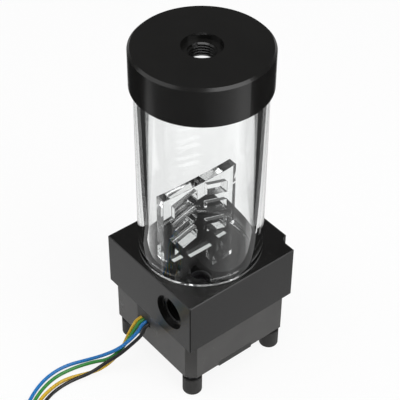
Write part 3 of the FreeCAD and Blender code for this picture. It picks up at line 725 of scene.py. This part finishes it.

# %% Paper
# Levels are parts of full white. The bearing is how far right of the camera's direction a spot
# on the paper lies, as a slope. Distances are in metres from the part's axis, to the camera.
# These levels are painted light and shade in the paper's glow that the part mirrors: bright to the
# right as if lit by the right softbox, a painted shade to the left and in front.
left_level, right_level = 0.18, 0.98
left_bearing, right_bearing = 0.0, 1.6
near_level = 0.6
near_end, far_start = 0.052, 0.066
behind_end, front_start = 0.0, 0.01
grey_end, white_start = 0.19, 0.22
shortest = 0.01


def painted_mirror_level(tree, towards, across):
    """The paper's painted light as the part's surfaces mirror it: painted shade in front and to the
    left, brighter to the right.
    """
    bearing = across / towards.at_least(shortest)
    far_level = map_range(tree, bearing, left_bearing, right_bearing, left_level, right_level)
    near = map_range(tree, towards, near_end, far_start, 1.0, 0.0)
    return far_level + (near_level - far_level) * near


def paper_material(name, tone, share):
    """Paper that is partly lit by the lamps and partly white by itself.

    Seen directly, or through the tube behind the part, it is white. What the part mirrors, and
    what the tube's front wall throws back from the paper close to it, has painted light and shade."""
    material, tree = new_material(name)
    shader = principled(tree, Base_Color=tone, Roughness=0.9, Specular_IOR_Level=0.0)
    turning = {"Vector": place_of(tree), "Rotation": (0.0, 0.0, -view_yaw)}
    towards, across, _ = axis_values(tree, add_node(tree, "ShaderNodeMapping", {}, turning))
    path = tree.nodes.new("ShaderNodeLightPath")
    direct = Shade(tree, path.outputs["Is Camera Ray"])
    through = Shade(tree, path.outputs["Is Transmission Ray"])
    glossy = Shade(tree, path.outputs["Is Glossy Ray"])
    behind = map_range(tree, towards, behind_end, front_start, 1.0, 0.0)
    beyond = map_range(tree, towards, grey_end, white_start, 0.0, 1.0)
    white = direct.at_least(through * behind.at_least(beyond))
    level = painted_mirror_level(tree, towards, across).at_least(white)
    glow = add_node(tree, "ShaderNodeEmission", {}, {"Color": level, "Strength": 1.0})
    factor = (direct * share).at_least(glossy.at_least(through))
    mix = add_node(tree, "ShaderNodeMixShader", {}, [factor, Shade(tree, shader.outputs[0]), glow])
    tree.links.new(mix.socket, tree.nodes["Material Output"].inputs[0])
    return material


# %% Floor
floor_half = 3.0
floor_height = -0.0003
bm = bmesh.new()
bmesh.ops.create_grid(bm, x_segments=1, y_segments=1, size=1.0)
for corner in bm.verts:
    place = (forward * corner.co.x + sideways * corner.co.y) * floor_half
    corner.co = (place.x, place.y, floor_height)
floor = finished("floor", bm)
floor.data.materials.append(paper_material("paper", (0.97, 0.97, 0.97), 0.9))

# %% Dark cards at both sides
card_height = 0.0005


def dark_card(name, outline):
    """A card from its outline, given as (right, away) of the part in metres, as the camera sees it."""
    bm = bmesh.new()
    places = [sideways * right - forward * away for right, away in outline]
    corners = [bm.verts.new((place.x, place.y, card_height)) for place in places]
    bmesh.ops.contextual_create(bm, geom=corners)
    bmesh.ops.recalc_face_normals(bm, faces=bm.faces)
    card = finished(name, bm)
    dark, tree = new_material(name)
    principled(tree, Base_Color=(0.02, 0.02, 0.02), Roughness=1.0)
    card.data.materials.append(dark)
    card.visible_camera = False
    card.visible_shadow = False
    card.visible_diffuse = False


dark_card("dark_card_left", [
    (-0.087, 0.039), (-0.213, 0.013), (-0.75, -0.10), (-0.75, 0.75), (-0.112, 0.75),
    (-0.112, 0.144),
])
dark_card("dark_card_right", [
    (0.092, 0.040), (0.207, -0.036), (0.75, -0.30), (0.75, 0.75), (0.112, 0.75), (0.112, 0.144),
])

# %% Room
# The stops are heights, as the sine of the elevation, with the level of grey there. The room is
# light at the horizon and dark above, and white to the eye.
room_stops = [(0.0, 0.8), (0.08, 0.35), (0.20, 0.10), (1.0, 0.10)]
world = bpy.data.worlds.new("room")
bpy.context.scene.world = world
world.use_nodes = True
room = world.node_tree
direction = add_node(room, "ShaderNodeTexCoord", output="Generated")
levels = grey_ramp(room, axis_values(room, direction)[2], room_stops)
seen = add_node(room, "ShaderNodeLightPath", output="Is Camera Ray")
room_colour = blend_colours(room, seen, levels, (1.0, 1.0, 1.0))
background = room.nodes["Background"]
room.links.new(room_colour.socket, background.inputs["Color"])
background.inputs["Strength"].default_value = 1.0

# %% Lamps
lamps_aim = Vector((0.0, 0.0, 0.10))


def soft_lamp(name, bearing, elevation, distance, width, power):
    """A square lamp. Its bearing is counted from the camera's, to the right, in degrees."""
    turn = view_yaw + math.radians(bearing)
    rise = math.radians(elevation)
    out = Vector((
        math.cos(turn) * math.cos(rise), math.sin(turn) * math.cos(rise), math.sin(rise),
    ))
    lamp = bpy.data.objects.new(name, bpy.data.lights.new(name, "AREA"))
    lamp.data.shape = "RECTANGLE"
    lamp.data.size = lamp.data.size_y = width
    lamp.data.energy = power
    lamp.location = lamps_aim + out * distance
    lamp.rotation_mode = "QUATERNION"
    lamp.rotation_quaternion = (-out).to_track_quat("-Z", "Y")
    bpy.context.scene.collection.objects.link(lamp)
    print(name, "at", [round(v, 2) for v in lamp.location])


soft_lamp("overhead", bearing=0, elevation=88, distance=1.3, width=1.0, power=9.0)
soft_lamp("right_softbox", bearing=52, elevation=42, distance=1.2, width=1.0, power=8.0)
soft_lamp("left_softbox", bearing=-80, elevation=38, distance=1.3, width=1.1, power=4.0)

bpy.context.scene.view_settings.view_transform = "Standard"
